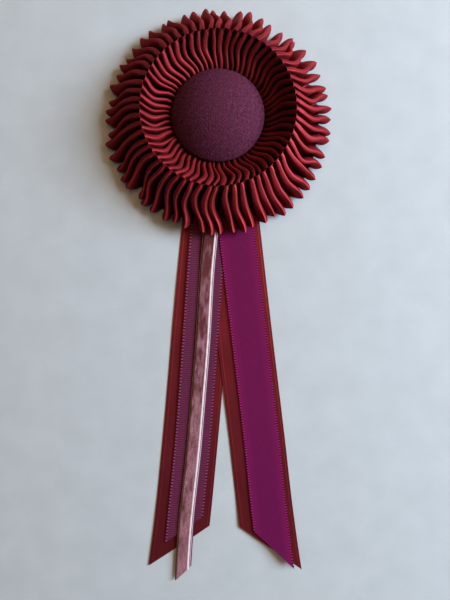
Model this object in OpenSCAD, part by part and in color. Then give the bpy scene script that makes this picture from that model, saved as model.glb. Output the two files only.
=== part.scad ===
// A ribbon rosette lying on its back: a pleated satin ring creased into a ridge, a covered
// button in its middle, five ribbon tails with slanted cuts, and a brooch pin behind.
// The origin is the rosette's centre on the surface it lies on. The tails run along -Y.

/* [Pleated ring] */
// Number of pleats round the ring
pleats = 60; // [48:2:64]
// Radius to the points of the outer petals
tip_r = 50; // [48:0.5:54]
// Radius of the crease that makes the ridge
ridge_r = 33; // [32:0.5:35]
// Height of the ridge
ridge_h = 19.2; // [18.6:0.1:20.5]
// Radius of the sewn hem under the button
hem_r = 13; // [13:0.5:14]
// How deep the pleats are, against the depths in the section table
pleat_fullness = 1; // [0.7:0.05:1]
// Sideways sway of the petals, in degrees
sway = 0.5; // [0:0.1:0.8]

/* [Button] */
// Width of the covered button
button_d = 40.2; // [38:0.2:40.4]
// Height of the button's top
button_top = 20; // [18:0.5:23]
// Radius of the button's rolled edge
button_edge = 1.2; // [0.8:0.1:1.3]

/* [Ribbons] */
// Width of the satin tails
satin_w = 25; // [22:0.5:26]
// Width of the grosgrain tails
grosgrain_w = 16; // [14:0.5:16]
// Width of the velvet tail
velvet_w = 7.1; // [6:0.1:7.2]
// Width of the raised pile on the velvet tail
pile_w = 5.6; // [4.5:0.1:5.8]
// Thickness of a ribbon
ribbon_t = 1; // [1:0.05:1.1]
// Thickness of the velvet tail through its pile
velvet_t = 1.4; // [1.3:0.05:1.5]
// Gap left between one ribbon and the next
layer_gap = 0.15; // [0.1:0.05:0.2]

/* [Back] */
// Radius of the backing disc
disc_r = 24; // [20:0.5:24]
// Thickness of the backing disc
disc_t = 1; // [0.8:0.1:1]
// Length of the brooch pin's bar
bar_l = 28; // [20:1:32]
// Width of the bar
bar_w = 5; // [4:0.5:6]
// Thickness of the bar
bar_t = 0.8; // [0.6:0.1:1]
// Thickness of the needle
needle_d = 1; // [0.8:0.1:1.2]

/* [Hidden] */
$fn = 96;

satin_red = [0.42, 0.09, 0.11];
button_plum = [0.27, 0.10, 0.22];
mauve = [0.42, 0.19, 0.32];
magenta = [0.42, 0.07, 0.29];
velvet_rose = [0.55, 0.32, 0.34];
felt_dark = [0.16, 0.12, 0.13];
steel = [0.70, 0.70, 0.72];

// Heights of what lies in the back: one level of ribbon, the whole stack of tails, the disc
level_h = ribbon_t + layer_gap;
stack_h = 3 * level_h + velvet_t;
disc_z = stack_h + layer_gap;
disc_top = disc_z + disc_t;
// The hem stands on the disc
hem_depth = 0.5;
hem_wall = 1.35;
hem_h = disc_top + layer_gap + hem_depth + hem_wall;

// One row for each section of the ring, from the hem up to the ridge and down to the petal tips.
// side is -1 within the ridge and 1 outside it, along and drop are the shares of the radius and
// of the height from the ridge to the hem or tips, depth is that of the pleat, lean is the angle
// of the pleat from upright, wall is the cloth's reach along the lean, and wave turns the
// section in degrees, so that the folds run in a soft S.
SIDE = 0; ALONG = 1; DROP = 2; DEPTH = 3; LEAN = 4; WALL = 5; WAVE = 6;
SECTIONS = [
    [-1, 1.00, 1.00, hem_depth, 0, hem_wall, 0.0],
    [-1, 0.72, 0.91, 1.2, 20, 1.6, -0.6],
    [-1, 0.54, 0.70, 2.6, 30, 2.1, -1.2],
    [-1, 0.31, 0.38, 3.6, 30, 2.4, 1.8],
    [-1, 0.12, 0.12, 3.2, 12, 2.4, 0.8],
    [-1, 0.00, 0.00, 0.6, 0, 2.2, 0.0],
    [1, 0.13, 0.10, 3.4, 10, 2.4, -0.8],
    [1, 0.38, 0.31, 4.6, 25, 2.4, -1.6],
    [1, 0.68, 0.61, 4.6, 38, 2.0, -0.4],
    [1, 1.00, 1.00, 4.2, 54, 1.7, 1.8]
];

// One row for each point of a pleat: its turn within the pleat, and its fall from crest to valley
TURN = 0; FALL = 1;
FOLD = [[0, 0], [0.3, 0.38], [0.5, 1], [0.7, 0.38]];

// The valleys between the petals stand on the surface, which sets the height of the points
rim = SECTIONS[len(SECTIONS) - 1];
tip_h = cos(rim[LEAN]) * (rim[DEPTH] * pleat_fullness + rim[WALL]);

// The rim is lifted clear of the tails: fully within one angle of -Y, and not past the other
rim_gap = 0.4;
lift_full = 24;
lift_none = 44;
lift_power = 1.2;
tails_at = 270;

// Where the tails begin under the disc, leave the ring and change their level
tail_top_y = -14;
rim_y = -50;
STATIONS = [tail_top_y, rim_y, -72, -100, -128, -150, -187, -210];

// One row for each tail: its width, its middle at the rim, its slants below and above the rim in
// degrees, and where its left and right edges are cut off
WIDTH = 0; MIDDLE = 1; SLANT = 2; HIDDEN_SLANT = 3; LEFT_END = 4; RIGHT_END = 5;
SATIN_LEFT = [satin_w, -4.4, -5.3, -5.3, -200, -182];
SATIN_RIGHT = [satin_w, 6.7, 6.6, 6.6, -182.4, -200.4];
GROSGRAIN_LEFT = [grosgrain_w, -4.7, -4.4, -4.4, -189.4, -177.7];
GROSGRAIN_RIGHT = [grosgrain_w, 8.3, 6.7, 6.7, -184, -199.8];
VELVET = [velvet_w, -3.5, -4.8, 6.7, -206.6, -199.6];

// The level of each tail at each station, counted in ribbons from the surface
SATIN_LEFT_LEVELS = [0, 0, 0, 0, 0, 0, 0, 0];
SATIN_RIGHT_LEVELS = [1, 1, 1, 1, 1, 0, 0.9, 2.2];
GROSGRAIN_LEFT_LEVELS = [2, 2, 2, 2, 1, 1, 1, 1];
GROSGRAIN_RIGHT_LEVELS = [3, 3, 3, 2, 2, 1, 1.9, 3.2];
VELVET_LEVELS = [3, 3, 3, 3, 2, 2, 2, 0.8];

// The pleated ring

function crest_r(s) = ridge_r + s[ALONG] * (s[SIDE] < 0 ? hem_r - ridge_r : tip_r - ridge_r);
function crest_h(s) = ridge_h - s[DROP] * (s[SIDE] < 0 ? ridge_h - hem_h : ridge_h - tip_h);
function smooth(t) = t <= 0 ? 0 : t >= 1 ? 1 : t * t * (3 - 2 * t);

// How far a section is raised at an angle: the rim goes up most, and the ridge stays
function lift(angle, s) = s[SIDE] < 0 ? 0
    : (stack_h + rim_gap) * smooth((lift_none - abs(tails_at - angle)) / (lift_none - lift_full))
        * pow(s[ALONG], lift_power);

// Within the ridge a pleat has its crest where the outside has its valley
function fold_point(j, side) = side > 0 ? FOLD[j]
    : [FOLD[(j + 2) % 4][TURN] + (j < 2 ? -0.5 : 0.5), FOLD[(j + 2) % 4][FALL]];

// Each petal sways a little by itself, most at its tip. The step keeps neighbours unlike.
sway_step = 137;
function petal_sway(i, s) = s[SIDE] < 0 ? 0 : sway * s[ALONG] * sin(sway_step * i);

// A point of the cloth: pleat i, point j of the fold, section s, and 0 on top or 1 underneath
function cloth_point(i, j, s, under) =
    let (
        f = fold_point(j, s[SIDE]),
        angle = (i + f[TURN]) * 360 / pleats + s[WAVE] + petal_sway(i, s),
        reach = s[DEPTH] * pleat_fullness * f[FALL] + under * s[WALL],
        r = crest_r(s) - s[SIDE] * sin(s[LEAN]) * reach,
        z = crest_h(s) - cos(s[LEAN]) * reach + lift(angle, s)
    )
    [r * cos(angle), r * sin(angle), z];

module pleated_ring() {
    rows = len(SECTIONS);
    around = pleats * len(FOLD);
    points = [for (under = [0, 1], s = SECTIONS, i = [0:pleats - 1], j = [0:len(FOLD) - 1])
        cloth_point(i, j, s, under)];
    // Index of a point: side of the cloth, row of sections, place round the ring
    at = function (under, row, k) (under * rows + row) * around + k % around;
    top = [for (row = [0:rows - 2], k = [0:around - 1])
        each [[at(0, row, k), at(0, row + 1, k + 1), at(0, row + 1, k)],
            [at(0, row, k), at(0, row, k + 1), at(0, row + 1, k + 1)]]];
    bottom = [for (row = [0:rows - 2], k = [0:around - 1])
        each [[at(1, row, k), at(1, row + 1, k), at(1, row + 1, k + 1)],
            [at(1, row, k), at(1, row + 1, k + 1), at(1, row, k + 1)]]];
    hem = [for (k = [0:around - 1])
        each [[at(0, 0, k), at(1, 0, k + 1), at(0, 0, k + 1)],
            [at(0, 0, k), at(1, 0, k), at(1, 0, k + 1)]]];
    tips = [for (k = [0:around - 1])
        each [[at(0, rows - 1, k), at(0, rows - 1, k + 1), at(1, rows - 1, k + 1)],
            [at(0, rows - 1, k), at(1, rows - 1, k + 1), at(1, rows - 1, k)]]];
    color(satin_red) polyhedron(points, concat(top, bottom, hem, tips), convexity = 20);
}

// The button: a dome that runs smoothly into a rolled edge, with a stub to the backing disc

button_edge_over_hem = 2.85;
button_edge_z = hem_h + button_edge_over_hem;
stub_r = 5;
// How far one shape runs into the next that it is joined to
bite = 0.2;

module button_profile() {
    edge_x = button_d / 2 - button_edge;
    rise = button_top - button_edge_z;
    dome_r = (pow(edge_x, 2) + pow(rise, 2) - pow(button_edge, 2)) / (2 * (rise - button_edge));
    dome_z = button_top - dome_r;
    // Where the dome meets the rolled edge
    meet = [edge_x, button_edge_z - dome_z] * dome_r / (dome_r - button_edge) + [0, dome_z];
    base_z = button_edge_z - button_edge;
    intersection() {
        translate([0, dome_z]) circle(r = dome_r, $fn = 180);
        polygon([[0, base_z], [edge_x, base_z], [edge_x, button_edge_z], meet,
            [meet[0], button_top], [0, button_top]]);
    }
    translate([edge_x, button_edge_z]) circle(r = button_edge, $fn = 32);
    translate([0, disc_top + layer_gap]) square([stub_r, base_z - disc_top - layer_gap + bite]);
}

module centre_button() {
    color(button_plum) rotate_extrude() button_profile();
}

// The back: a stiff disc that everything is sewn to, and a brooch pin in one piece under it

module backing_disc() {
    color(felt_dark) translate([0, 0, disc_z]) cylinder(r = disc_r, h = disc_t);
}

hinge_r = 1.3;
hinge_l = 4;
catch_l = 2;
catch_w = 3;
hinge_above_surface = 0.4;
bar_top = disc_z - layer_gap;
needle_z = hinge_r + hinge_above_surface;

module brooch_pin() {
    color(steel) {
        translate([-bar_l / 2, -bar_w / 2, bar_top - bar_t]) cube([bar_l, bar_w, bar_t]);
        // The barrel that holds the needle, and the foot that carries it
        translate([-bar_l / 2, 0, needle_z]) rotate([0, 90, 0]) cylinder(r = hinge_r, h = hinge_l);
        translate([-bar_l / 2, -hinge_r / 2, needle_z])
            cube([hinge_l, hinge_r, bar_top - bar_t / 2 - needle_z]);
        translate([-bar_l / 2, 0, needle_z]) rotate([0, 90, 0])
            cylinder(d = needle_d, h = bar_l - catch_l / 2);
        // The catch that closes over the needle's point
        translate([bar_l / 2 - catch_l, -catch_w / 2, needle_z - needle_d])
            cube([catch_l, catch_w, bar_top - bar_t / 2 - needle_z + needle_d]);
    }
}

// The tails

function middle_at(tail, y) = tail[MIDDLE]
    + (rim_y - y) * tan(y < rim_y ? tail[SLANT] : tail[HIDDEN_SLANT]);
function half_at(tail, w, y) = w / 2 / cos(y < rim_y ? tail[SLANT] : tail[HIDDEN_SLANT]);
function edge_at(tail, w, side, y) = [middle_at(tail, y) + side * half_at(tail, w, y), y];

// Where the slanted cut is, across a strip of width w in the middle of the tail
function cut_at(tail, w, side) =
    (tail[LEFT_END] + tail[RIGHT_END]) / 2
        + side * (tail[RIGHT_END] - tail[LEFT_END]) / 2 * w / tail[WIDTH];

// A strip of the tail that is w wide and t thick, which follows the tail's levels
module strip(tail, levels, w, t) {
    left_end = cut_at(tail, w, -1);
    right_end = cut_at(tail, w, 1);
    outline = [edge_at(tail, w, -1, tail_top_y), edge_at(tail, w, -1, rim_y),
        edge_at(tail, w, -1, left_end), edge_at(tail, w, 1, right_end),
        edge_at(tail, w, 1, rim_y), edge_at(tail, w, 1, tail_top_y)];
    last = len(STATIONS) - 1;
    side_view = concat(
        [for (k = [0:last]) [STATIONS[k], levels[k] * level_h]],
        [for (k = [last:-1:0]) [STATIONS[k], levels[k] * level_h + t]]);
    reach = 3 * satin_w;
    intersection() {
        linear_extrude(2 * stack_h) polygon(outline);
        translate([-reach / 2, 0, 0]) rotate([90, 0, 90]) linear_extrude(reach) polygon(side_view);
    }
}

module satin_tail_left() {
    color(satin_red) strip(SATIN_LEFT, SATIN_LEFT_LEVELS, satin_w, ribbon_t);
}

module satin_tail_right() {
    color(satin_red) strip(SATIN_RIGHT, SATIN_RIGHT_LEVELS, satin_w, ribbon_t);
}

module grosgrain_tail_left() {
    color(mauve) strip(GROSGRAIN_LEFT, GROSGRAIN_LEFT_LEVELS, grosgrain_w, ribbon_t);
}

module grosgrain_tail_right() {
    color(magenta) strip(GROSGRAIN_RIGHT, GROSGRAIN_RIGHT_LEVELS, grosgrain_w, ribbon_t);
}

module velvet_tail() {
    color(velvet_rose) {
        strip(VELVET, VELVET_LEVELS, velvet_w, ribbon_t);
        strip(VELVET, VELVET_LEVELS, pile_w, velvet_t);
    }
}

pleated_ring();
centre_button();
backing_disc();
brooch_pin();
satin_tail_left();
satin_tail_right();
grosgrain_tail_left();
grosgrain_tail_right();
velvet_tail();
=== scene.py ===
# %% [markdown]
# # A ribbon rosette
#
# The rosette lies on its back on a pale table. It has a ring of pleated satin round a button
# covered in linen, five ribbon tails, and a felt disc with a brooch pin behind. The solids of
# all nine pieces come from the frame. The felt disc and the pin keep their solids, and every
# piece of ribbon or stretched cloth is modelled here in its place.

import math
from contextlib import contextmanager

import bpy
import numpy as np
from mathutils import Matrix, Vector


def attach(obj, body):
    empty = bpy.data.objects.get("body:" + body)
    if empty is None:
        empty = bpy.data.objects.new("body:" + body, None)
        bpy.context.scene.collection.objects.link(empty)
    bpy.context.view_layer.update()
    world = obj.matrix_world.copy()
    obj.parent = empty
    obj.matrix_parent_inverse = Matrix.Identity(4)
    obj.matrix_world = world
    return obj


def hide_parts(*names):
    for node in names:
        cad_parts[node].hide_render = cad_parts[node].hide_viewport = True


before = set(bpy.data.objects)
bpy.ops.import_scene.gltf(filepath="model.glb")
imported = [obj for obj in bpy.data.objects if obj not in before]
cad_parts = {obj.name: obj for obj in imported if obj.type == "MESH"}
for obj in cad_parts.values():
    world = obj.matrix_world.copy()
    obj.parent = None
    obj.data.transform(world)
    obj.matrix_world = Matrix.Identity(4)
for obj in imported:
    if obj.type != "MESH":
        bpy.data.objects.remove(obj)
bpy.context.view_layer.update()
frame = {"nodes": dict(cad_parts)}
MM = 0.001  # sizes are written in millimetres, and Blender works in metres
print("nodes:", ", ".join(frame["nodes"]))

# %% [markdown]
# ## The camera
#
# The picture was taken from straight above the tails, near enough that the tall ring spreads
# outwards. A camera this close shows the ring's far side steeply and its near side face on, so
# its place matters more than any other choice. It looks straight down, with +Y up in the picture.

# %% The camera
PICTURE_W, PICTURE_H = 450, 600  # pixels
CAMERA_AT = (3.0, -79.6, 206.0)
FOCAL = 453.0  # focal length in pixels of the picture
SENSOR = 36.0  # Blender measures this along the picture's long side


def make_camera():
    data = bpy.data.cameras.new("camera")
    data.sensor_width = SENSOR
    data.lens = SENSOR * FOCAL / PICTURE_H
    data.clip_start = 0.01
    camera = bpy.data.objects.new("camera", data)
    camera.location = Vector(CAMERA_AT) * MM
    bpy.context.scene.collection.objects.link(camera)
    bpy.context.scene.camera = camera
    return camera


camera = make_camera()
print("lens:", round(camera.data.lens, 2), "mm")

# %% [markdown]
# ## Helpers for modelling
#
# Operators act on whatever is selected, so every edit starts by selecting one object alone. The
# helper called editing opens edit mode for it and closes it again. The others read and move the
# points of a mesh, which is how cloth gets its folds here, and finish it.

# %% Helpers for modelling


def select_only(obj):
    bpy.ops.object.select_all(action="DESELECT")
    obj.select_set(True)
    bpy.context.view_layer.objects.active = obj


@contextmanager
def editing(obj):
    """Edit mode on one object, with nothing selected in it."""
    select_only(obj)
    bpy.ops.object.mode_set(mode="EDIT")
    bpy.ops.mesh.select_all(action="DESELECT")
    yield
    bpy.ops.object.mode_set(mode="OBJECT")


def points_of(obj):
    """The vertices of a mesh as an array, in millimetres."""
    points = np.empty(len(obj.data.vertices) * 3)
    obj.data.vertices.foreach_get("co", points)
    return points.reshape(-1, 3) / MM


def move_points(obj, points):
    obj.data.vertices.foreach_set("co", (points * MM).ravel())
    obj.data.update()


def apply_modifier(obj, kind, **settings):
    select_only(obj)
    modifier = obj.modifiers.new(kind.lower(), kind)
    for name, value in settings.items():
        setattr(modifier, name, value)
    bpy.ops.object.modifier_apply(modifier=modifier.name)


def face_outwards(obj):
    with editing(obj):
        bpy.ops.mesh.select_all(action="SELECT")
        bpy.ops.mesh.normals_make_consistent(inside=False)


def smooth(obj, angle=40):
    select_only(obj)
    bpy.ops.object.shade_smooth_by_angle(angle=math.radians(angle))


def triangles(obj):
    obj.data.calc_loop_triangles()
    return len(obj.data.loop_triangles)


print("triangles in the solids:", sum(triangles(obj) for obj in frame["nodes"].values()))

# %% [markdown]
# ## A ribbon off the reel
#
# Every ribbon of the rosette, pleated or hanging, starts as a flat grid of its real length and
# width, as it comes off the reel. Its area can then be measured against the folded piece, which
# shows how much cloth the folds leave out. Its flat places are kept as a UV map, so that its weave
# follows every fold.

# %% A ribbon off the reel


def flat_ribbon(name, width, length, across, along):
    """A flat grid that is width across X and runs along -Y from 0."""
    bpy.ops.object.select_all(action="DESELECT")
    bpy.ops.mesh.primitive_grid_add(x_subdivisions=across, y_subdivisions=along, size=1)
    obj = bpy.context.object
    obj.name = obj.data.name = name
    with editing(obj):
        bpy.ops.mesh.select_all(action="SELECT")
        bpy.ops.transform.resize(value=(width * MM, length * MM, 1))
        bpy.ops.transform.translate(value=(0, -length * MM / 2, 0))
    return obj


def write_cloth_map(obj, across, along):
    """Keeps each vertex's place on the flat ribbon, in millimetres, as the UV map cloth."""
    layer = obj.data.uv_layers.active or obj.data.uv_layers.new()
    layer.name = "cloth"
    corners = np.empty(len(obj.data.loops), dtype=np.int32)
    obj.data.loops.foreach_get("vertex_index", corners)
    flat = np.stack([across[corners], along[corners]], axis=1)
    layer.data.foreach_set("uv", flat.ravel())


def area_of(obj):
    """The area of a mesh in square metres."""
    return sum(face.area for face in obj.data.polygons)


print("ribbons to make: one pleated and five hanging")

# %% [markdown]
# ## Curves through a short table
#
# Each soft form below follows a table with a row for each station along it. A curve through the
# rows has to be smooth, or every row would show as a kink in the cloth. This one is a cubic
# through the rows whose slope at a row is taken from the rows beside it.

# %% Curves through a short table


def curve_through(stations, values, places):
    """A smooth curve through values at rising stations, read at an array of places."""
    stations, values = np.asarray(stations, float), np.asarray(values, float)
    slopes = np.gradient(values, stations)
    places = np.clip(places, stations[0], stations[-1])
    at = np.clip(np.searchsorted(stations, places) - 1, 0, len(stations) - 2)
    step = stations[at + 1] - stations[at]
    t = (places - stations[at]) / step
    start = (1 + 2 * t) * (1 - t) ** 2 * values[at] + t * (1 - t) ** 2 * step * slopes[at]
    end = t**2 * (3 - 2 * t) * values[at + 1] + t**2 * (t - 1) * step * slopes[at + 1]
    return start + end


def column(table, index, places):
    """One column of a table as a smooth curve along its first column."""
    rows = np.asarray(table, float)
    return curve_through(rows[:, 0], rows[:, index], places)


print("the curve through 0, 1 and 4, halfway to each:",
      curve_through([0, 1, 2], [0, 1, 4], np.array([0.5, 1.5])).round(2))

# %% [markdown]
# ## The pleated ring
#
# The ring is one length of satin ribbon, folded to and fro and closed in a round. A crease along
# its middle turns every fold inside out: where the outside has a crest, the inside has a valley.
# That is why the petals and the inner pleats lie between each other.
#
# Cloth simulation is the usual way to make soft things, and it wasn't tried here. Sixty folds of a
# few millimetres would need a very fine mesh to hold, so the ribbon is folded by rule. A flat grid
# is laid out, and each of its points gets its place from how far round it is and how far across.
# The price of a rule is that nothing stops the cloth from passing through itself, and at the
# crease, where the folds are tightest, it does.
#
# Two tables give the form across the ribbon, outside and inside the crease. Each row has:
#
# - share: the share of the way from the crease to the edge
# - radius, height: where the crests run
# - depth: how deep the pleats are
# - lean: how far the pleats tip from upright, in degrees
# - width: more than 0 makes crests wide and valleys narrow, less than 0 the other way round
# - steep: how steep the walls of the pleats are
# - side: how far the valleys slip sideways under the crests, in pleats
# - tilt: how much higher one shoulder of a pleat stands than its middle, in millimetres
# - wave: how far the crests sway round the ring, in degrees
# - point: under 1 makes the crests sharp, as at the tips of the petals
# - skew: how much more gently one shoulder falls than the other

# %% The pleated ring's form
PLEATS = 60
RIBBON_W = 50.0
SHARE, RADIUS, HEIGHT, DEPTH, LEAN, WIDTH, STEEP, SIDE, TILT, WAVE, POINT, SKEW = range(12)
OUTSIDE = [
    (0.00, 32.7, 19.2, 0.4, 90, 0.00, 0.000, 0.00, 0.0, 0.0, 1.0, 0.0),
    (0.03, 33.2, 18.9, 2.6, 18, 0.04, 0.060, 0.12, 0.0, 0.0, 1.4, 0.4),
    (0.08, 34.1, 18.3, 5.8, 8, 0.06, 0.095, 0.22, 0.1, -0.2, 1.8, 0.9),
    (0.18, 35.9, 17.0, 8.8, 8, 0.07, 0.095, 0.26, 0.1, -0.9, 1.8, 0.9),
    (0.35, 38.9, 14.4, 10.0, 18, 0.08, 0.095, 0.26, 0.1, -1.7, 1.7, 0.8),
    (0.50, 41.6, 11.9, 9.6, 30, 0.10, 0.090, 0.18, 0.1, -1.6, 1.35, 0.5),
    (0.62, 43.8, 9.8, 8.8, 40, 0.13, 0.085, 0.06, 0.0, -0.6, 1.1, 0.25),
    (0.75, 46.1, 7.6, 7.8, 49, 0.15, 0.075, 0.00, 0.0, 0.7, 0.93, 0.1),
    (0.90, 48.8, 5.1, 6.8, 57, 0.16, 0.065, -0.02, 0.0, 1.5, 0.84, 0.0),
    (1.00, 50.5, 3.6, 6.0, 66, 0.16, 0.060, 0.00, 0.0, 1.4, 0.84, 0.0),
]
INSIDE = [
    (0.00, 32.3, 19.2, 0.4, 90, 0.00, 0.000, 0.00, 0.0, 0.0, 1.0, 0.0),
    (0.04, 31.6, 18.8, 2.8, 18, 0.04, 0.060, 0.02, 0.0, 0.4, 1.1, 0.0),
    (0.12, 30.1, 17.5, 5.8, 14, 0.10, 0.095, 0.02, 0.0, 1.6, 1.35, 0.0),
    (0.28, 27.0, 14.7, 7.2, 26, 0.12, 0.100, 0.02, 0.0, 2.8, 1.4, 0.0),
    (0.42, 24.5, 12.9, 6.2, 31, 0.12, 0.100, 0.02, 0.0, 1.1, 1.35, 0.0),
    (0.56, 21.8, 11.2, 4.2, 30, 0.10, 0.095, 0.02, 0.0, -1.4, 1.15, 0.0),
    (0.72, 18.6, 9.1, 2.0, 20, 0.02, 0.030, 0.00, 0.0, -1.4, 1.0, 0.0),
    (1.00, 13.0, 8.0, 0.5, 0, 0.00, 0.000, 0.00, 0.0, 0.0, 1.0, 0.0),
]
print("the ridge is", 2 * OUTSIDE[0][RADIUS], "mm across, the tips", 2 * OUTSIDE[-1][RADIUS])

# %% [markdown]
# The petals also change round the ring. On the right the light finds a roof with a hollow beside
# it, at the top they are round bulbs, and over the tails they are pushed to one side. A third table
# says what is added at each angle. Its columns are the sway early and late on the way out,
# three numbers near the ridge, five at the tips, and the width of the crests between them.

# %% How the petals change round the ring
(ANGLE, EARLY, LATE, SIDE_NEAR, TILT_NEAR, POINT_NEAR, SIDE_TIP, HOLLOW, TILT_TIP, POINT_TIP,
 LEAN_TIP, WIDE) = range(12)
ROUND = [
    (-20, -1.7, -1.4, -0.30, -0.3, -0.3, -0.36, -1.3, 0.2, -0.20, 0, 0.00),
    (35, -1.0, 0.4, -0.30, -0.3, -0.4, -0.36, -1.3, 0.2, -0.20, 0, 0.00),
    (65, 0.4, 0.2, -0.30, -0.3, -0.5, -0.26, -0.6, 0.2, -0.15, 0, 0.00),
    (95, 1.0, -0.2, -0.30, 0.0, -0.6, -0.24, -0.2, 0.1, -0.10, 0, 0.00),
    (130, 0.4, 0.0, -0.16, 0.0, -0.5, -0.16, 0.0, -0.1, -0.20, 0, -0.02),
    (180, 0.0, -0.8, 0.00, 0.0, -0.2, -0.05, 0.0, -0.1, -0.10, 0, -0.06),
    (225, -0.4, 0.0, 0.00, 0.0, 0.0, 0.00, 0.0, 0.0, -0.08, -8, -0.04),
    (250, -1.2, 0.8, 0.05, 0.0, 0.0, 0.10, 0.2, 0.3, -0.15, -16, 0.02),
    (270, -0.6, 0.8, 0.05, 0.0, 0.0, 0.22, 0.3, 0.4, -0.25, -22, 0.06),
    (290, 0.8, -1.4, 0.00, 0.0, 0.0, 0.28, 0.4, 0.6, -0.25, -24, 0.06),
    (315, 0.0, -1.6, 0.00, 0.0, 0.0, 0.00, 0.0, 0.4, -0.25, -10, 0.03),
    (340, -1.7, -1.4, -0.30, -0.3, -0.3, -0.36, -1.3, 0.2, -0.20, 0, 0.00),
]


def step_up(low, high, value):
    """0 below low and 1 above high, with a smooth rise between."""
    t = np.clip((value - low) / (high - low), 0, 1)
    return t * t * (3 - 2 * t)


def add_round(col, place, share):
    """Adds to the outside's columns what its angle round the ring asks for."""
    first = ROUND[0][ANGLE]
    angle = (place * 360 / PLEATS - first) % 360 + first
    more = [column(ROUND, i, angle) for i in range(len(ROUND[0]))]
    near = step_up(0.05, 0.3, share) * (1 - step_up(0.35, 0.7, share))
    tip = step_up(0.4, 0.75, share)
    edge = step_up(0.72, 1.0, share)
    between = step_up(0.1, 0.4, share) * (1 - edge)
    early_at = np.sin(np.pi * np.clip(share / 0.75, 0, 1))
    late_at = step_up(0.3, 1.0, share)
    col[WAVE] = col[WAVE] + more[EARLY] * early_at + more[LATE] * late_at
    col[SIDE] = col[SIDE] + more[SIDE_NEAR] * near + more[SIDE_TIP] * tip
    col[TILT] = (col[TILT] + more[TILT_NEAR] * near + more[HOLLOW] * tip * (1 - edge)
                 + more[TILT_TIP] * edge)
    col[POINT] = col[POINT] + more[POINT_NEAR] * near + more[POINT_TIP] * tip
    col[LEAN] = col[LEAN] + more[LEAN_TIP] * tip
    col[WIDTH] = col[WIDTH] + more[WIDE] * between


upright = min(ROUND, key=lambda row: row[LEAN_TIP])
print("the petals' tips stand up most at", upright[ANGLE], "degrees round the ring")

# %% [markdown]
# No two pleats are alike. Each one gets a few small numbers of its own, drawn from a fixed seed,
# and a point between two crests takes a blend of its neighbours' numbers.

# %% The pleats' irregularity
draw = np.random.default_rng(7)


def one_each(amount):
    """A small number for each pleat."""
    return amount * np.clip(draw.standard_normal(PLEATS), -1.8, 1.8)


def own_numbers():
    return {
        "sway": one_each(0.9),  # degrees, most at the edge
        "kink": one_each(0.35),  # degrees, to and fro across the ribbon
        "wave": one_each(0.3),  # share of the wave
        "reach": one_each(0.65),  # mm, most at the edge
        "height": one_each(0.3),  # mm
        "side": one_each(0.09),  # pleats
        "width": one_each(0.025),
        "depth": one_each(0.06),  # share of the depth
    }


SPACING = one_each(0.11)  # pleats, the same on both sides of the crease
OUTSIDE_OWN = own_numbers()
INSIDE_OWN = own_numbers()


def blend_pleats(numbers, place):
    """The numbers of the pleats as a curve that is level at every crest."""
    before = np.floor(place).astype(int)
    t = place - before
    t = t * t * (3 - 2 * t)
    return numbers[before % PLEATS] * (1 - t) + numbers[(before + 1) % PLEATS] * t


print("spacing of the first pleats:", np.round(SPACING[:5], 2))

# %% [markdown]
# A fold is a cosine round the ring, high on the crests and low in the valleys. Its power makes the
# crests sharp or round, sines of the same turn push the walls and the valleys sideways, and the lean
# tips the whole pleat outwards. Over the tails the rim is lifted by the ribbons under it, and the
# valleys stop just above them.

# %% Folding one half of the ribbon
CLEAR = 0.3  # mm, the lowest that the cloth comes
CROWD = 0.06  # pleats, how far the mesh crowds towards the crests, which are what shows
TAILS_AT = 270  # degrees
TAILS_TOP = 3.72  # mm, the lowest that the cloth comes over the tails
LIFT = 2.9  # mm, how far the tails lift the rim
LIFT_FULL, LIFT_NONE = 21, 35  # degrees to each side of the tails
LIFT_POWER = 1.2  # over 1 keeps the lift near the rim
OWN_RISE = 6  # a pleat's own numbers are whole from a sixth of the way out
KINK_TURN = 9  # radians of to and fro between the crease and the edge


def lay_on_tails(height, angle, share):
    off = np.abs((angle - TAILS_AT + 180) % 360 - 180)
    over = step_up(-LIFT_NONE, -LIFT_FULL, -off)
    return np.maximum(height + LIFT * over * share**LIFT_POWER, TAILS_TOP * over)


def fold_side(table, own, place, share, outwards):
    """Points of one half of the ribbon. place counts pleats, with crests at whole numbers."""
    fade = np.clip(share * OWN_RISE, 0, 1)
    place = place - CROWD * fade * np.sin(2 * np.pi * place)
    turn = 2 * np.pi * place
    vary = {name: blend_pleats(numbers, place) * fade for name, numbers in own.items()}
    col = [column(table, i, share) for i in range(len(table[0]))]
    if table is OUTSIDE:
        add_round(col, place, share)
    fall = (1 - np.cos(turn)) / 2
    power = col[POINT] - col[SKEW] * np.sin(turn)
    reach = col[DEPTH] * (1 + vary["depth"]) * fall**power - col[TILT] * np.sin(turn)
    shifted = (place
               + (col[WIDTH] + vary["width"]) * np.sin(turn)
               + col[STEEP] * np.sin(2 * turn)
               - (col[SIDE] + vary["side"]) * fall)
    angle = (shifted * 360 / PLEATS
             + col[WAVE] * (1 + vary["wave"])
             + vary["kink"] * np.sin(share * KINK_TURN)
             + vary["sway"] * share)
    lean = np.radians(col[LEAN])
    radius = col[RADIUS] + vary["reach"] * share - outwards * np.sin(lean) * reach
    height = col[HEIGHT] + vary["height"] - np.cos(lean) * reach
    return angle, radius, np.maximum(height, CLEAR)


print("the tails lift the rim over", 2 * LIFT_NONE, "degrees of the ring")

# %% [markdown]
# The outside's crests are the inside's valleys, so the inside counts its pleats from half a pleat
# on. Both halves share one uneven spacing, so that they meet at the crease.

# %% Folding the whole ribbon
PLEAT_L = 14.0  # mm of ribbon in one pleat
ROW_CROWD = 1.5  # over 1 crowds the grid's rows towards the crease


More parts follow.
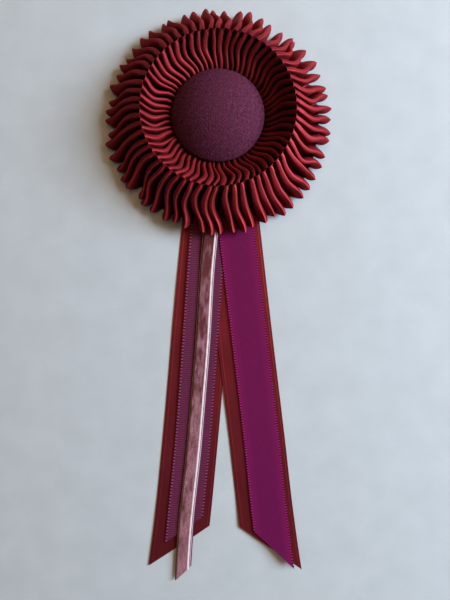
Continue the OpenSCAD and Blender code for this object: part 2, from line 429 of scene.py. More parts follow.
def fold_ring(flat):
    """Places for the points of a flat ribbon that is RIBBON_W across X."""
    count = -flat[:, 1] / PLEAT_L
    across = flat[:, 0] / (RIBBON_W / 2)
    share = np.abs(across) ** ROW_CROWD
    outer = fold_side(OUTSIDE, OUTSIDE_OWN, count, share, 1)
    inner = fold_side(INSIDE, INSIDE_OWN, count - 0.5, share, -1)
    inner = (inner[0] + 180 / PLEATS, inner[1], inner[2])
    is_outer = across > -1e-6
    angle, radius, height = (np.where(is_outer, o, i) for o, i in zip(outer, inner))
    angle = angle + blend_pleats(SPACING, count) * 360 / PLEATS
    height = np.where(is_outer, lay_on_tails(height, angle, share), height)
    turn = np.radians(angle)
    return np.stack([radius * np.cos(turn), radius * np.sin(turn), height], axis=1), share


print("ribbon in the ring:", PLEATS * PLEAT_L, "mm")

# %% [markdown]
# The grid has eighteen faces to a pleat, which is enough for a round crest, and its rows crowd
# together towards the crease, where the folds turn inside out. After folding, the two ends of
# the ribbon meet, and their doubled points are merged before the cloth gets its thickness.

# %% Making the ring
FACES_PER_PLEAT = 18
ROWS = 40
SATIN_T = 0.25
WELD = 0.01  # mm, nearer points are merged


def make_ring():
    ring = flat_ribbon("pleated_satin", RIBBON_W, PLEATS * PLEAT_L, ROWS, PLEATS * FACES_PER_PLEAT)
    flat = points_of(ring)
    folded, share = fold_ring(flat)
    across = np.sign(flat[:, 0]) * share * RIBBON_W / 2
    write_cloth_map(ring, across, flat[:, 1])
    move_points(ring, folded)
    with editing(ring):
        bpy.ops.mesh.select_all(action="SELECT")
        bpy.ops.mesh.remove_doubles(threshold=WELD * MM)
    face_outwards(ring)
    apply_modifier(ring, "SOLIDIFY", thickness=SATIN_T * MM, offset=-1)
    smooth(ring, 60)
    return ring


ring = make_ring()
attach(ring, "root")
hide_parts("pleated_ring")
print("ring:", triangles(ring), "triangles,", round(area_of(ring) / 2, 4), "square metres")

# %% [markdown]
# ## The centre button
#
# The button is a domed shell with linen drawn over it. Its outline is a wide arc that runs into
# a small rolled edge. A circle is extruded upwards ring by ring, each ring shrunk to the arc, and
# closed at the top in one point.

# %% The centre button
BUTTON_R = 20.1
BUTTON_TOP = 20.0
BUTTON_EDGE_Z = 10.85
ROLL = 1.2  # radius of the rolled edge
DOME_RINGS = 18
ROLL_RINGS = 6


def button_outline():
    """(radius, height) from the hidden underside round the rolled edge to the top."""
    edge_x = BUTTON_R - ROLL
    rise = BUTTON_TOP - BUTTON_EDGE_Z
    dome_r = (edge_x**2 + rise**2 - ROLL**2) / (2 * (rise - ROLL))
    dome_z = BUTTON_TOP - dome_r
    meet = math.atan2(BUTTON_EDGE_Z - dome_z, edge_x)
    roll = np.linspace(-math.pi / 2, meet, ROLL_RINGS, endpoint=False)
    dome = np.linspace(meet, math.pi / 2, DOME_RINGS, endpoint=False)
    outline = [(edge_x + ROLL * math.cos(a), BUTTON_EDGE_Z + ROLL * math.sin(a)) for a in roll]
    outline += [(dome_r * math.cos(a), dome_z + dome_r * math.sin(a)) for a in dome]
    return outline


def make_button():
    outline = button_outline()
    (r, z), rest = outline[0], outline[1:]
    bpy.ops.object.select_all(action="DESELECT")
    bpy.ops.mesh.primitive_circle_add(
        vertices=96, radius=r * MM, fill_type="TRIFAN", location=(0, 0, z * MM))
    button = bpy.context.object
    button.name = button.data.name = "linen_button"
    bpy.ops.object.transform_apply(location=True)
    with editing(button):
        bpy.ops.mesh.select_mode(type="EDGE")
        bpy.ops.mesh.select_non_manifold()
        for next_r, next_z in rest:
            bpy.ops.mesh.extrude_region_move(
                TRANSFORM_OT_translate={"value": (0, 0, (next_z - z) * MM)})
            bpy.ops.transform.resize(value=(next_r / r, next_r / r, 1))
            r, z = next_r, next_z
        bpy.ops.mesh.extrude_region_move(
            TRANSFORM_OT_translate={"value": (0, 0, (BUTTON_TOP - z) * MM)})
        bpy.ops.mesh.merge(type="CENTER")
    face_outwards(button)
    apply_modifier(button, "SUBSURF", levels=1, render_levels=1)
    smooth(button, 60)
    return button


button = make_button()
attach(button, "root")
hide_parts("centre_button")
print("button:", triangles(button), "triangles")

# %% [markdown]
# ## The tails
#
# Each tail is cut from a flat ribbon on a slant and laid on what is under it. The tables give
# how it lies: y, where its middle runs in x, and how high its underside is. The heights lay each
# ribbon on the ones below it, with the velvet on top, and lift the ends that curl.

# %% How the tails lie
Y, X, Z = range(3)
SATIN_LEFT = [(-14, -1.2, 0.05), (-50, -4.4, 0.05), (-89, -8.0, 0.05), (-147, -13.1, 0.05),
              (-182, -16.6, 0.10), (-210, -20.3, 0.15)]
SATIN_RIGHT = [(-14, 2.6, 0.55), (-50, 6.7, 0.55), (-93, 11.6, 0.50), (-147, 18.1, 0.12),
               (-175, 21.3, 0.25), (-190, 23.3, 1.2), (-210, 26.3, 4.0)]
GROSGRAIN_LEFT = [(-14, -2.0, 1.1), (-50, -4.8, 1.1), (-89, -7.6, 1.0), (-147, -11.9, 0.55),
                  (-180, -15.2, 0.55), (-200, -17.1, 0.60)]
GROSGRAIN_RIGHT = [(-14, 4.3, 1.65), (-50, 8.4, 1.65), (-89, 13.1, 1.2), (-147, 20.0, 0.55),
                   (-172, 22.6, 0.75), (-190, 24.7, 2.0), (-210, 27.2, 5.2)]
VELVET = [(-14, -1.0, 2.2), (-50, -3.4, 2.2), (-65, -4.8, 1.65), (-98, -6.8, 1.6),
          (-125, -9.0, 1.2), (-147, -10.9, 1.1), (-183, -14.7, 1.1), (-215, -16.7, 0.7)]
for name, table in (("left satin", SATIN_LEFT), ("right satin", SATIN_RIGHT),
                    ("left grosgrain", GROSGRAIN_LEFT), ("right grosgrain", GROSGRAIN_RIGHT),
                    ("velvet", VELVET)):
    print(name, "lies from y", table[0][Y], "to", table[-1][Y], "and starts", table[0][Z], "mm up")

# %% [markdown]
# ## Cutting a ribbon
#
# The ribbon is cut flat, as with scissors: a plane bisects the grid, and what is beyond it goes.
# How far down each edge the cut comes is worked out from where the laid edges have to end.

# %% Cutting a ribbon
CURVE_STEPS = 800  # along a tail, for measuring it


def cut_end(ribbon, left_length, right_length, width):
    """Cuts the ribbon's end from left_length down its left edge to right_length down its right."""
    slant = Vector((width, left_length - right_length, 0)).normalized()
    with editing(ribbon):
        bpy.ops.mesh.select_all(action="SELECT")
        bpy.ops.mesh.bisect(
            plane_co=(-width / 2 * MM, -left_length * MM, 0),
            plane_no=(slant.y, -slant.x, 0),
            threshold=1e-6,
            clear_outer=True)


def end_lengths(table, left_y, right_y, width):
    """How far down its left and right edges a ribbon is cut, from where the edges end in y."""
    rows = np.asarray(table, float)
    fine = np.linspace(-rows[0, Y], -rows[-1, Y], CURVE_STEPS)
    x = curve_through(-rows[:, Y], rows[:, X], fine)
    length = np.concatenate([[0], np.cumsum(np.hypot(np.diff(fine), np.diff(x)))])
    slope = np.gradient(x, fine)
    found = []
    for side, end in ((-1, left_y), (1, right_y)):
        edge_y = -fine + side * width / 2 * slope / np.hypot(1, slope)
        found.append(float(np.interp(-end, -edge_y, length)))
    return found


def tell_cut(tail, left, right):
    print(tail.name, "is", round(left), "and", round(right), "mm down its edges,",
          triangles(tail), "triangles")


print("a tail's curve is measured in", CURVE_STEPS, "steps")

# %% [markdown]
# ## Laying a ribbon
#
# Each point of the flat ribbon moves to its place beside the table's curve, square to it. Gentle
# waves keep the cloth from looking like card.

# %% Laying a ribbon
LOWEST = 0.04  # mm over the table
WAVE_H = 0.06  # mm
WAVE_LS = (9.0, 23.0)  # mm along the ribbon for one radian of each wave
CURL_L = 17.0  # the same for the twist from edge to edge
CURL_AT = 10  # mm from the middle, where the twist is as high as a wave


def lay(ribbon, table, phase):
    """Moves a flat ribbon along the table's curve, and keeps its flat places as a UV map."""
    flat = points_of(ribbon)
    rows = np.asarray(table, float)
    down = -rows[:, Y]
    fine = np.linspace(down[0], down[-1], CURVE_STEPS)
    x = curve_through(down, rows[:, X], fine)
    z = curve_through(down, rows[:, Z], fine)
    steps = np.hypot(np.hypot(np.diff(fine), np.diff(x)), np.diff(z))
    length = np.concatenate([[0], np.cumsum(steps)])
    along = np.clip(-flat[:, 1], 0, length[-1])
    middle_x, middle_y, middle_z = (np.interp(along, length, v) for v in (x, -fine, z))
    way_x, way_y = (np.interp(along, length, np.gradient(v, length)) for v in (x, -fine))
    across = flat[:, 0]
    short, long = WAVE_LS
    wave = WAVE_H * (np.sin(along / short + phase) + np.sin(along / long + 2 * phase)) / 2
    curl = WAVE_H * np.sin(along / CURL_L + phase) * across / CURL_AT
    under = np.maximum(middle_z + wave + curl + WAVE_H, LOWEST)
    laid_x = middle_x - way_y * across
    laid_y = middle_y + way_x * across
    write_cloth_map(ribbon, across, along)
    move_points(ribbon, np.stack([laid_x, laid_y, under + flat[:, 2]], axis=1))


print("the ribbons wave by", WAVE_H, "mm")

# %% [markdown]
# ## The satin tails
#
# Satin ribbon has a fine woven selvedge a little inside each edge, which shows as a thin raised
# line. It is modelled as a low ridge, so that the light finds it.

# %% The satin tails
SATIN_W = 25.0
SELVEDGE_IN = 1.2
SELVEDGE_H = 0.06
SELVEDGE_W = 0.22
SATIN_FACES = (100, 180)


def make_satin_tail(name, table, left_y, right_y, phase):
    left, right = end_lengths(table, left_y, right_y, SATIN_W)
    tail = flat_ribbon(name, SATIN_W, max(left, right), *SATIN_FACES)
    cut_end(tail, left, right, SATIN_W)
    flat = points_of(tail)
    inside = SATIN_W / 2 - np.abs(flat[:, 0]) - SELVEDGE_IN
    flat[:, 2] = SELVEDGE_H * np.exp(-(inside / SELVEDGE_W) ** 2)
    move_points(tail, flat)
    lay(tail, table, phase)
    apply_modifier(tail, "SOLIDIFY", thickness=SATIN_T * MM, offset=1)
    smooth(tail, 40)
    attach(tail, "root")
    tell_cut(tail, left, right)
    return tail, max(left, right)


satin_left, satin_left_l = make_satin_tail("satin_ribbon_left", SATIN_LEFT, -200, -182, 0.4)
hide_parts("satin_tail_left")
satin_right, satin_right_l = make_satin_tail("satin_ribbon_right", SATIN_RIGHT, -182.4, -200.4, 1.9)
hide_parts("satin_tail_right")

# %% [markdown]
# ## The grosgrain tails
#
# Grosgrain is woven with thick cross threads. They turn back at the edges in small loops, so the
# edges look toothed. The teeth are real in the mesh, and the ribs between them are left to the
# finish, which is enough for ribs so low.

# %% The grosgrain tails
GROSGRAIN_W = 16.0
GROSGRAIN_T = 0.35
GROSGRAIN_FACES = 20  # across
TOOTH_PITCH = 1.45
TOOTH_H = 0.40
TOOTH_IN = 0.9  # mm from the edge, where the teeth begin
FACES_PER_TOOTH = 6


def make_grosgrain_tail(name, table, left_y, right_y, phase, tooth_h):
    left, right = end_lengths(table, left_y, right_y, GROSGRAIN_W)
    length = max(left, right)
    rows = round(length / TOOTH_PITCH * FACES_PER_TOOTH)
    tail = flat_ribbon(name, GROSGRAIN_W, length, GROSGRAIN_FACES, rows)
    cut_end(tail, left, right, GROSGRAIN_W)
    flat = points_of(tail)
    edge = np.clip((np.abs(flat[:, 0]) - (GROSGRAIN_W / 2 - TOOTH_IN)) / TOOTH_IN, 0, 1)
    tooth = np.cos(2 * np.pi * flat[:, 1] / TOOTH_PITCH)
    flat[:, 0] += np.sign(flat[:, 0]) * edge * tooth_h / 2 * tooth
    move_points(tail, flat)
    lay(tail, table, phase)
    apply_modifier(tail, "SOLIDIFY", thickness=GROSGRAIN_T * MM, offset=1)
    smooth(tail, 40)
    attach(tail, "root")
    tell_cut(tail, left, right)
    return tail, length


mauve, mauve_l = make_grosgrain_tail(
    "mauve_ribbon", GROSGRAIN_LEFT, -189.4, -177.7, 2.6, TOOTH_H)
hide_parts("grosgrain_tail_left")
magenta, magenta_l = make_grosgrain_tail(
    "magenta_ribbon", GROSGRAIN_RIGHT, -184, -199.8, 4.1, TOOTH_H * 0.5)
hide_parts("grosgrain_tail_right")

# %% [markdown]
# ## The velvet tail
#
# The velvet ribbon has a raised pile between two woven edges. The middle of the grid is raised for
# the pile, with round shoulders, and its top is roughened a little, as a pile that has been pressed.

# %% The velvet tail
VELVET_W = 7.1
VELVET_T = 0.3
VELVET_FACES = (36, 380)
PILE_LEFT, PILE_RIGHT = -3.0, 2.3  # the pile's edges, from the ribbon's middle
PILE_H = 0.55
SHOULDER = 0.45  # mm from the pile's edge to its full height
PRESSED_H = 0.05


def pressed_pile(x, y):
    """Low patches and streaks that wander over the pile."""
    patches = np.sin(x * 1.9 + np.sin(y * 0.7)) * np.sin(y * 0.83 + 1.3 * np.sin(x * 1.1))
    streaks = np.sin(y * 1.7 + 2.1 * np.sin(x * 0.9 + y * 0.21))
    return patches + 0.6 * streaks


def make_velvet_tail():
    left, right = end_lengths(VELVET, -206.6, -199.6, VELVET_W)
    tail = flat_ribbon("velvet_ribbon", VELVET_W, max(left, right), *VELVET_FACES)
    cut_end(tail, left, right, VELVET_W)
    flat = points_of(tail)
    inside = np.minimum(flat[:, 0] - PILE_LEFT, PILE_RIGHT - flat[:, 0])
    rise = np.clip(inside / SHOULDER, 0, 1)
    rise = np.sqrt(1 - (1 - rise) ** 2)
    flat[:, 2] = rise * (PILE_H + PRESSED_H * pressed_pile(flat[:, 0], flat[:, 1]))
    move_points(tail, flat)
    lay(tail, VELVET, 3.3)
    apply_modifier(tail, "SOLIDIFY", thickness=VELVET_T * MM, offset=1)
    smooth(tail, 50)
    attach(tail, "root")
    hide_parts("velvet_tail")
    tell_cut(tail, left, right)
    return tail


velvet = make_velvet_tail()

# %% [markdown]
# ## Shader maths
#
# Finishes are written as sums. A Term wraps a shader socket, and adding or multiplying Terms
# makes the Math nodes. Every other node comes from one method, which sets the node up first and
# then gives its sockets their values or links.

# %% Shader maths


class Term:
    """A number that changes over a surface."""

    def __init__(self, finish, socket):
        self.finish, self.socket = finish, socket

    def maths(self, operation, *values):
        return self.finish.node("ShaderNodeMath", {"operation": operation}, dict(enumerate(values)))

    def __add__(self, other):
        return self.maths("ADD", self, other)

    def __sub__(self, other):
        return self.maths("SUBTRACT", self, other)

    def __rsub__(self, other):
        return self.maths("SUBTRACT", other, self)

    def __mul__(self, other):
        return self.maths("MULTIPLY", self, other)

    def __truediv__(self, other):
        return self.maths("DIVIDE", self, other)

    def __gt__(self, other):
        return self.maths("GREATER_THAN", self, other)

    def __lt__(self, other):
        return self.maths("LESS_THAN", self, other)

    __radd__ = __add__
    __rmul__ = __mul__

    def sin(self):
        return self.maths("SINE", self)

    def abs(self):
        return self.maths("ABSOLUTE", self)

    def clamp(self):
        return self.finish.node("ShaderNodeClamp", {}, {"Value": self})


print("operations on a Term: + - * / > <, sin, abs and clamp")

# %% [markdown]
# A Finish is a material. What is the same all over goes straight into the shader's sockets, and
# what changes comes from the cloth's UV map or from the place on the object.

# %% A finish


class Finish:
    """A material, with its shader's own sockets for what is the same all over."""

    def __init__(self, name, **constants):
        self.material = bpy.data.materials.new(name)
        self.material.use_nodes = True
        self.tree = self.material.node_tree
        self.shader = self.tree.nodes["Principled BSDF"]
        for socket, value in constants.items():
            self.shader.inputs[socket.replace("_", " ")].default_value = value

    def node(self, kind, settings, values, out=0):
        """A node of any kind: its settings first, then its sockets' values or links."""
        made = self.tree.nodes.new(kind)
        for name, value in settings.items():
            setattr(made, name, value)
        for socket, value in values.items():
            self.give(made.inputs[socket], value)
        return Term(self, made.outputs[out])

    def give(self, socket, value):
        if isinstance(value, Term):
            self.tree.links.new(value.socket, socket)
        elif isinstance(value, tuple) and socket.type == "RGBA":
            socket.default_value = (*value, 1)
        else:
            socket.default_value = value

    def set(self, socket, value):
        self.give(self.shader.inputs[socket], value)

    def split(self, place):
        """The x and y of a place."""
        return (self.node("ShaderNodeSeparateXYZ", {}, {"Vector": place}, "X"),
                self.node("ShaderNodeSeparateXYZ", {}, {"Vector": place}, "Y"))

    def cloth(self):
        """(across, along) the flat ribbon, in millimetres."""
        return self.split(self.node("ShaderNodeUVMap", {"uv_map": "cloth"}, {}))

    def place(self):
        """The place on the object, in metres."""
        return self.node("ShaderNodeTexCoord", {}, {}, "Object")

    def point(self, x, y, z=0.0):
        return self.node("ShaderNodeCombineXYZ", {}, {"X": x, "Y": y, "Z": z})

    def noise(self, place, scale, detail=2.0, roughness=0.5):
        return self.node("ShaderNodeTexNoise", {}, {
            "Vector": place, "Scale": scale, "Detail": detail, "Roughness": roughness}, "Fac")

    def mix(self, share, first, second):
        """A blend of two colours."""
        return self.node("ShaderNodeMix", {"data_type": "RGBA"}, {0: share, 6: first, 7: second}, 2)

    def bump(self, height, distance, strength=1.0):
        self.set("Normal", self.node("ShaderNodeBump", {}, {
            "Height": height, "Distance": distance, "Strength": strength}))


def dress(obj, finish):
    obj.data.materials.clear()
    obj.data.materials.append(finish.material)


def times(colour, share):
    """A colour made darker or lighter."""
    return tuple(part * share for part in colour)


BLACK = (0.0, 0.0, 0.0)
print("half of a pale red:", times((0.8, 0.2, 0.2), 0.5))

# %% [markdown]
# ## Satin
#
# Satin has a soft sheen because long threads lie side by side on its face. The red is deep, and
# only what faces the light is bright. A deep red that is partly metallic, with a fairly rough red
# gloss, gives that. Fine threads run along the ribbon, and the selvedge has a painted highlight, a
# paler line. The ring and the tails share this finish, and differ in their red, their gloss and
# where they are shaded. The tails' red is darker, as painted shade for flat satin that catches
# less of the sheen.

# %% Satin
RING_RED = (0.30, 0.032, 0.038)
# darker than the ring's red, as painted shade where the flat tails catch less of the sheen
TAIL_RED = (0.19, 0.027, 0.034)
RING_ROUGH = 0.52
TAIL_ROUGH = 0.45
LINE_W = 0.18  # mm, the selvedge's paler line, a painted highlight
TAIL_END_SHADE = 0.25
TAIL_L = 190.0


def satin_finish(name, half_width, red, rough, shade):
    """Satin whose colour is shaded by a function of its place on the flat ribbon."""
    satin = Finish(name, Roughness=rough, Metallic=0.45, Specular_IOR_Level=0.25,
                   Specular_Tint=(1.0, 0.25, 0.25, 1))
    across, along = satin.cloth()
    cloud = satin.noise(satin.point(across * 0.08, along * 0.05), 1.0, 3.0)
    threads = satin.noise(satin.point(across * 3.0, along * 0.6), 1.0, 2.0)
    line = 1 - ((half_width - across.abs() - SELVEDGE_IN) / LINE_W).abs().clamp()
    base = satin.mix((cloud - 0.35) * 1.8, times(red, 0.85), times(red, 1.12))
    base = satin.mix(threads * 0.25, base, times(red, 0.6))
    # painted highlight: a paler line along the selvedge
    base = satin.mix(line * 0.5, base, times(red, 1.9))
    satin.set("Base Color", shade(satin, base, red, across, along))
    satin.bump(threads * 0.6 + line, 0.05 * MM, 0.6)
    return satin


def shade_tail(satin, base, red, across, along):
    """The satin tails are darker towards their ends."""
    return satin.mix(along * (TAIL_END_SHADE / TAIL_L), base, BLACK)


tail_satin = satin_finish("tail_satin", SATIN_W / 2, TAIL_RED, TAIL_ROUGH, shade_tail)
dress(satin_left, tail_satin)
dress(satin_right, tail_satin)
print("satin on", satin_left.name, satin_right.name)

# %% [markdown]
# The light alone leaves some folds brighter than they are in the picture, so they get painted
# shade by where they are as well. Outside, the valleys get painted shade at the lower left and the
# ridge at the upper right. Inside, the sides get more painted shade than the top and bottom, and
# so do the valleys near the top. Threads darken the cloth in places, and a painted highlight, a
# pale line, runs along each crest, most clearly at the bottom.

# %% The ring's shade
QUARTER = math.pi / 2
LOW_LEFT_TURN = math.radians(140)  # turns the sine that is 1 at the lower left
VALLEY_SHADE, RIDGE_SHADE, LOW_LEFT_SHADE = 0.65, 0.4, 0.37
RIDGE_W, RIDGE_FADE = 7.2, 6.0  # mm from the crease to the shade's end, and how far it fades
INSIDE_SHADE = 0.05
INSIDE_SIDES, INSIDE_TOP, INSIDE_RIGHT, INSIDE_ALL = 0.22, 0.06, 0.12, 0.06
INSIDE_VALLEY = 0.85


def shade_pleats(satin, base, red, across, along):
    """Painted shade makes the deep folds darker, in ways that change round the ring."""
    turn = along * (-2 * math.pi / PLEAT_L)
    outside, inside = across > 0, across < 0
    crest = (turn + QUARTER).sin()
    low_left = (turn / PLEATS - LOW_LEFT_TURN).sin() * 0.5 + 0.5
    top = (turn / PLEATS).sin() * 0.5 + 0.5
    right = (turn / PLEATS + QUARTER).sin().clamp()
    # painted shade: the inside a little darker, then the valleys, ridge and inner sides by angle
    base = satin.mix(inside * INSIDE_SHADE, base, BLACK)
    valley = (0.6 - crest).clamp() * low_left * outside
    ridge = ((RIDGE_W - across) / RIDGE_FADE).clamp() * (1 - low_left) * outside
    base = satin.mix(valley * VALLEY_SHADE + ridge * RIDGE_SHADE, base, BLACK)
    base = satin.mix(low_left * low_left * outside * LOW_LEFT_SHADE, base, BLACK)
    side = 1 - ((top - 0.5) * 2).abs()
    deep = side * INSIDE_SIDES + top * INSIDE_TOP + right * INSIDE_RIGHT + INSIDE_ALL
    inner_crest = 0.75 - crest * 0.5
    inner_valley = (crest * 1.3).clamp() * ((top - 0.45) * 1.8).clamp()
    base = satin.mix(inside * (deep * inner_crest + inner_valley * INSIDE_VALLEY), base, BLACK)
    return threads_and_crest_highlight(satin, base, red, across, along, turn, top)


print("shade of the valleys at the lower left:", VALLEY_SHADE)

# %% [markdown]
# The painted highlight line is narrow, so it is the top of a sine, a little to one side of the
# crest.

# %% Threads and a painted highlight on the ring's crests
THREAD_SHADE = 0.3
LINE_ASIDE = math.radians(12)
LINE_FROM = 0.93  # of the sine's height
LINE_BOTTOM, LINE_LEAST = 0.58, 0.1


def threads_and_crest_highlight(satin, base, red, across, along, turn, top):
    """Dark threads in the cloth, and a painted highlight along each crest outside."""
    thread = satin.noise(satin.point(across * 1.3, along * 0.4), 1.0, 3.0)
    thread = ((thread - 0.5) * 4 + 0.5).clamp()
    base = satin.mix(thread * THREAD_SHADE - 0.1, base, times(red, 0.4))
    # painted highlight: a pale line along each crest outside, most at the bottom
    line = (((turn - LINE_ASIDE + QUARTER).sin() - LINE_FROM) / (1 - LINE_FROM)).clamp()
    share = ((0.5 - top) * 2).clamp() * LINE_BOTTOM + LINE_LEAST
    return satin.mix(line * share * (across > 0), base, times(red, 2.2))


dress(ring, satin_finish("ring_satin", RIBBON_W / 2, RING_RED, RING_ROUGH, shade_pleats))
print("satin on", ring.name)

# %% [markdown]
# ## Linen
#
# The button's cloth is a plain weave of uneven threads, laid on at a slant. Two waves, one for each
# set of threads, make the over and under of the weave. A real linen thread has thick and thin
# stretches, so a noise stretched along each way makes the cloth uneven, and it does more for the
# look than the weave, because a thread is hardly wider than a pixel of the picture.

# %% Linen
THREAD = 0.5  # mm from one linen thread to the next
SLANT = 0.707  # the threads run at 45 degrees
PLUM = (0.087, 0.0168, 0.0370)


def linen_finish():
    linen = Finish("plum_linen", Roughness=0.9, Specular_IOR_Level=0.2)
    x, y = linen.split(linen.place())
    x, y = x / MM, y / MM
    bend = linen.noise(linen.point(x, y), 0.6, 2.0)
    weft_way = (x + y) * SLANT + bend * 0.5
    warp_way = (x - y) * SLANT + bend * 0.5
    weft = (weft_way * (math.pi / THREAD)).sin()
    warp = (warp_way * (math.pi / THREAD)).sin()
    weave = weft.abs() * 0.25 + warp.abs() * 0.25 + weft * warp * 0.25
    thick_weft = linen.noise(linen.point(weft_way * 2.3, warp_way * 0.6), 1.0, 3.0)
    thick_warp = linen.noise(linen.point(weft_way * 0.4, warp_way * 2.0, 5.0), 1.0, 2.0)
    height = weave + thick_weft * 2.2 + thick_warp * 1.2
    shade = ((height - 1.4) * 0.65).clamp()
    linen.set("Base Color", linen.mix(shade, times(PLUM, 0.35), times(PLUM, 1.9)))
    linen.bump(height, 0.12 * MM, 0.9)
    return linen


dress(button, linen_finish())
print("linen on", button.name)

# %% [markdown]
# ## Grosgrain
#
# Cross ribs are a wave along the ribbon. The mauve one is coarser, and the magenta one so fine
# that it looks almost smooth. At the edges the cross threads turn back in loops, painted paler and
# darker in turn: painted light on the loops and painted shade between them. The magenta ribbon is
# more violet in its lower half.

# %% Grosgrain
MAUVE = (0.122, 0.024, 0.055)
MAGENTA = (0.147, 0.0095, 0.060)
VIOLET = (0.134, 0.0074, 0.066)  # the magenta ribbon's lower half
VIOLET_FROM, VIOLET_TO = 60, 180  # mm down the ribbon
MAUVE_RIB, MAGENTA_RIB = 0.97, 0.5  # mm from one cross rib to the next
MAGENTA_LOOP = 1.2  # mm from one of its loops to the next
LOOPS = 1.1  # mm of each edge where the cross threads turn back
GLOW_W = 4.0  # mm of each edge that may be paler


def waves(along, pitch):
    """Waves between 0 and 1 along a ribbon."""
    return ((along * (2 * math.pi / pitch)).sin() + 1) * 0.5


def grosgrain_finish(name, colour, pitch, depth, loop_pitch, loop_depth, edge_glow, low=None):
    cloth = Finish(name, Roughness=0.7, Specular_IOR_Level=0.1)
    across, along = cloth.cloth()
    rib = waves(along, pitch)
    loop = waves(along, loop_pitch)
    inside = GROSGRAIN_W / 2 - across.abs()
    at_edge = (1 - inside / LOOPS).clamp()
    near_edge = (1 - inside / GLOW_W).clamp()
    cloud = cloth.noise(cloth.point(across * 0.12, along * 0.06), 1.0, 3.0)
    thread = cloth.noise(cloth.point(across * 4.0, along * 4.0), 1.0, 1.0)
    base = cloth.mix(rib, times(colour, 1 - depth), times(colour, 1 + depth))
    base = cloth.mix(cloud * 0.35, base, times(colour, 0.7))
    base = cloth.mix(thread * 0.2, base, times(colour, 1.3))
    if low:
        down = ((along - VIOLET_FROM) / (VIOLET_TO - VIOLET_FROM)).clamp()
        base = cloth.mix(down * 0.8, base, low)
    base = cloth.mix(near_edge * edge_glow, base, times(colour, 1.8))
    # painted light and shade on the edge loops: pale on each loop, dark between them
    pale_loop = times(colour, 1 + 1.6 * loop_depth)
    loops = cloth.mix(loop, times(colour, 1 - loop_depth), pale_loop)
    cloth.set("Base Color", cloth.mix((at_edge * 2).clamp(), base, loops))
    cloth.bump(rib + thread * 0.3 + at_edge * loop, 0.10 * MM, 0.8)
    return cloth


dress(mauve, grosgrain_finish(
    "mauve_grosgrain", MAUVE, MAUVE_RIB, 0.28, TOOTH_PITCH, 0.8, 0.0))
dress(magenta, grosgrain_finish(
    "magenta_grosgrain", MAGENTA, MAGENTA_RIB, 0.08, MAGENTA_LOOP, 0.8, 0.3, VIOLET))
print("grosgrain on", mauve.name, magenta.name)

# %% [markdown]
# ## Velvet
#
# Pressed pile lies in patches that face different ways, so it is mottled from rose brown at the
# top to pale pink lower down, and palest at the tip. One shoulder of the pile has a painted
# highlight. Beyond a groove painted dark as shade, the woven edges are smooth and catch the light.

# %% Velvet
ROSE = (0.110, 0.028, 0.028)
PINK = (0.30, 0.14, 0.16)
EDGE_LEFT = (0.16, 0.10, 0.075)
SHINE = (0.58, 0.42, 0.42)  # a painted highlight on one shoulder of the pile
# painted shade: the groove beside the pile is painted near black
GROOVE = (0.02, 0.004, 0.008)
SILVER = (0.42, 0.33, 0.36)
SHINE_FROM = 1.7  # mm from the ribbon's middle
GROOVE_W, SILVER_TO = 0.4, 0.85  # mm past the pile
PINKER_FROM, PINKER_TO = 20.0, 130.0  # mm down the ribbon
TIP_FROM, TIP_TO = 160, 185  # mm down the ribbon


def velvet_finish():
    pile = Finish("rose_velvet", Sheen_Weight=0.3, Sheen_Roughness=0.4, Specular_IOR_Level=0.2,
                  Sheen_Tint=(1.0, 0.75, 0.75, 1))
    across, along = pile.cloth()
    down = ((along - PINKER_FROM) / (PINKER_TO - PINKER_FROM)).clamp()
    at_tip = ((along - TIP_FROM) / (TIP_TO - TIP_FROM)).clamp()
    cloud = pile.noise(pile.point(across * 0.35, along * 0.11), 1.0, 2.0)
    streak = pile.noise(pile.point(across * 1.0, along * 0.25, 4.0), 1.0, 3.0)
    speckle = pile.noise(pile.point(across * 2.2, along * 1.8, 8.0), 1.0, 2.0)
    pale = ((cloud - 0.5) * 3.0 + (streak - 0.5) * 1.5 + down * 0.95 - 0.12).clamp()
    middle = pile.mix(pale, ROSE, PINK)
    middle = pile.mix(((speckle - 0.5) * 5.0).clamp() * (down * 0.8 + 0.1), middle, ROSE)
    middle = pile.mix(at_tip * 0.5, middle, PINK)
    # painted highlight on the pile's right shoulder
    shoulder = (across > SHINE_FROM) * (0.35 + streak * 1.2).clamp()
    middle = pile.mix(shoulder, middle, SHINE)
    past = across - PILE_RIGHT
    edge = pile.mix(across > 0, EDGE_LEFT, SILVER)
    on_edge = (across < PILE_LEFT) + (past > GROOVE_W)
    base = pile.mix(on_edge, middle, edge)
    # painted shade in the groove between the pile and the right edge
    base = pile.mix((past > 0) * (past < GROOVE_W), base, GROOVE)
    pile.set("Base Color", pile.mix(past > SILVER_TO, base, MAUVE))
    pile.set("Roughness", 0.9 - on_edge * 0.45)
    fibres = pile.noise(pile.point(across * 7.0, along * 7.0), 1.0, 2.0)
    pile.bump(fibres, 0.05 * MM, 0.5)
    return pile


dress(velvet, velvet_finish())
print("velvet on", velvet.name)

# %% [markdown]
# ## The back
#
# The disc and the pin are plain things that the ribbons hide. Their solids have the right shape,
# so they keep it and get a finish: pressed felt, and plated steel with fine drawn scratches.

# %% The back
FELT_DARK = (0.016, 0.008, 0.009)
FELT_PALE = (0.060, 0.026, 0.028)
FELT_BLOTCH = (0.022, 0.010, 0.012)
STEEL = (0.62, 0.62, 0.64)


def felt_finish():
    felt = Finish("dark_felt", Roughness=0.95)
    place = felt.place()
    fibre = felt.noise(place, 2200.0, 4.0, 0.7)
    blotch = felt.noise(place, 160.0, 2.0)
    base = felt.mix(fibre, FELT_DARK, FELT_PALE)
    felt.set("Base Color", felt.mix(blotch * 0.4, base, FELT_BLOTCH))
    felt.bump(fibre, 0.12 * MM, 0.8)
    return felt


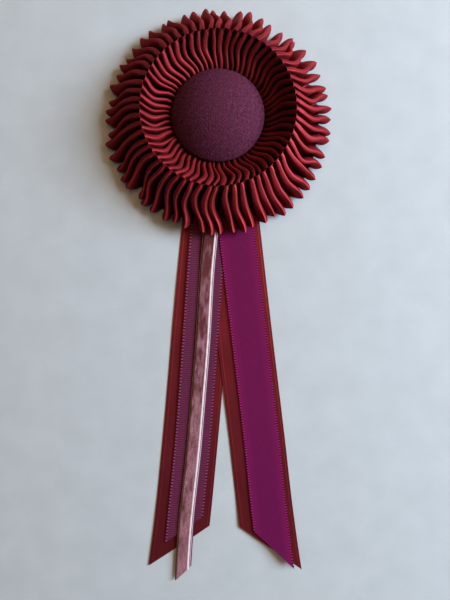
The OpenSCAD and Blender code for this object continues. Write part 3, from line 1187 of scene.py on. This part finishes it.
def steel_finish():
    steel = Finish("plated_steel", Base_Color=(*STEEL, 1), Metallic=1.0)
    x, y = steel.split(steel.place())
    drawn = steel.noise(steel.point(x * 300, y * 6000), 1.0, 3.0)
    steel.set("Roughness", 0.22 + drawn * 0.2)
    steel.bump(drawn, 0.01 * MM, 0.4)
    return steel


dress(frame["nodes"]["backing_disc"], felt_finish())
dress(frame["nodes"]["brooch_pin"], steel_finish())
print("felt and steel on the back")

# %% [markdown]
# ## The table
#
# The table is a pale sheet of paper, softly mottled, that curves up far away, so that other views
# have a plain background too. It starts as a disc, and its rim is extruded outwards and upwards
# four times.

# %% The table
TABLE_R = 1.2  # metres
TABLE_RIM = [(1.15, 0.06), (1.12, 0.20), (1.06, 0.35), (1.02, 0.6)]  # (grows by, rises by)
PAPER = (0.44, 0.44, 0.44)


def paper_finish():
    paper = Finish("paper", Roughness=0.9)
    place = paper.place()
    grain = paper.noise(place, 900.0, 4.0)
    cloud = ((paper.noise(place, 80.0, 2.0) - 0.5) * 2.2 + 0.5).clamp()
    pale = paper.mix(cloud, times(PAPER, 0.93), times(PAPER, 1.05))
    paper.set("Base Color", paper.mix(grain * 0.8, pale, times(PAPER, 0.94)))
    paper.bump(grain, 0.03 * MM, 0.5)
    return paper


def make_table():
    bpy.ops.object.select_all(action="DESELECT")
    bpy.ops.mesh.primitive_circle_add(vertices=64, radius=TABLE_R, fill_type="NGON")
    table = bpy.context.object
    table.name = "table"
    with editing(table):
        bpy.ops.mesh.select_mode(type="EDGE")
        bpy.ops.mesh.select_non_manifold()
        for out, up in TABLE_RIM:
            bpy.ops.mesh.extrude_region_move(TRANSFORM_OT_translate={"value": (0, 0, up)})
            bpy.ops.transform.resize(value=(out, out, 1))
        bpy.ops.mesh.select_all(action="SELECT")
        bpy.ops.mesh.normals_make_consistent(inside=True)
    smooth(table, 60)
    dress(table, paper_finish())
    return table


table = make_table()
print("table:", triangles(table), "triangles")

# %% [markdown]
# ## The light
#
# A soft cool window light comes low from the right, which gives the pleats their bright and dark
# sides and throws the shadow to the left. A weak warm light from above fills the shadows, and that
# is why they look brown. The picture has more contrast than a plain tone curve gives, so the look
# of the view is set to a stronger one.

# %% The light
WINDOW_AT, WINDOW_SIZE, WINDOW_POWER = (0.80, 0.12, 0.52), (0.44, 0.52), 20.4  # metres and watts
ROOM_AT, ROOM_SIZE, ROOM_POWER = (0.22, 0.26, 0.92), (1.2, 1.2), 4.4
COOL = (0.62, 0.81, 1.0)
WARM = (1.0, 0.53, 0.07)
SURROUNDINGS = (1.0, 0.45, 0.08)
SURROUNDINGS_STRENGTH = 0.011


def area_light(name, at, size, power, colour):
    data = bpy.data.lights.new(name, "AREA")
    data.shape = "RECTANGLE"
    data.size, data.size_y = size
    data.energy = power
    data.color = colour
    light = bpy.data.objects.new(name, data)
    light.location = at
    light.rotation_euler = (-Vector(at)).to_track_quat("-Z", "Y").to_euler()
    light.visible_camera = False
    bpy.context.scene.collection.objects.link(light)
    print(name, "light:", power, "watts")


def surround(colour, strength):
    world = bpy.data.worlds.new("world")
    world.use_nodes = True
    background = world.node_tree.nodes["Background"]
    background.inputs["Color"].default_value = (*colour, 1)
    background.inputs["Strength"].default_value = strength
    bpy.context.scene.world = world


area_light("window", WINDOW_AT, WINDOW_SIZE, WINDOW_POWER, COOL)
area_light("room", ROOM_AT, ROOM_SIZE, ROOM_POWER, WARM)
surround(SURROUNDINGS, SURROUNDINGS_STRENGTH)
bpy.context.scene.view_settings.view_transform = "Standard"
bpy.context.scene.view_settings.look = "Medium High Contrast"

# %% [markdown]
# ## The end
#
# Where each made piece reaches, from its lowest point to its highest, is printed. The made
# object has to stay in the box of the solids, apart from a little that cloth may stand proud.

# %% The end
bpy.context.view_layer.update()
for obj in (ring, button, satin_left, satin_right, mauve, magenta, velvet):
    print(obj.name, "from", points_of(obj).min(0).round(2), "to", points_of(obj).max(0).round(2))
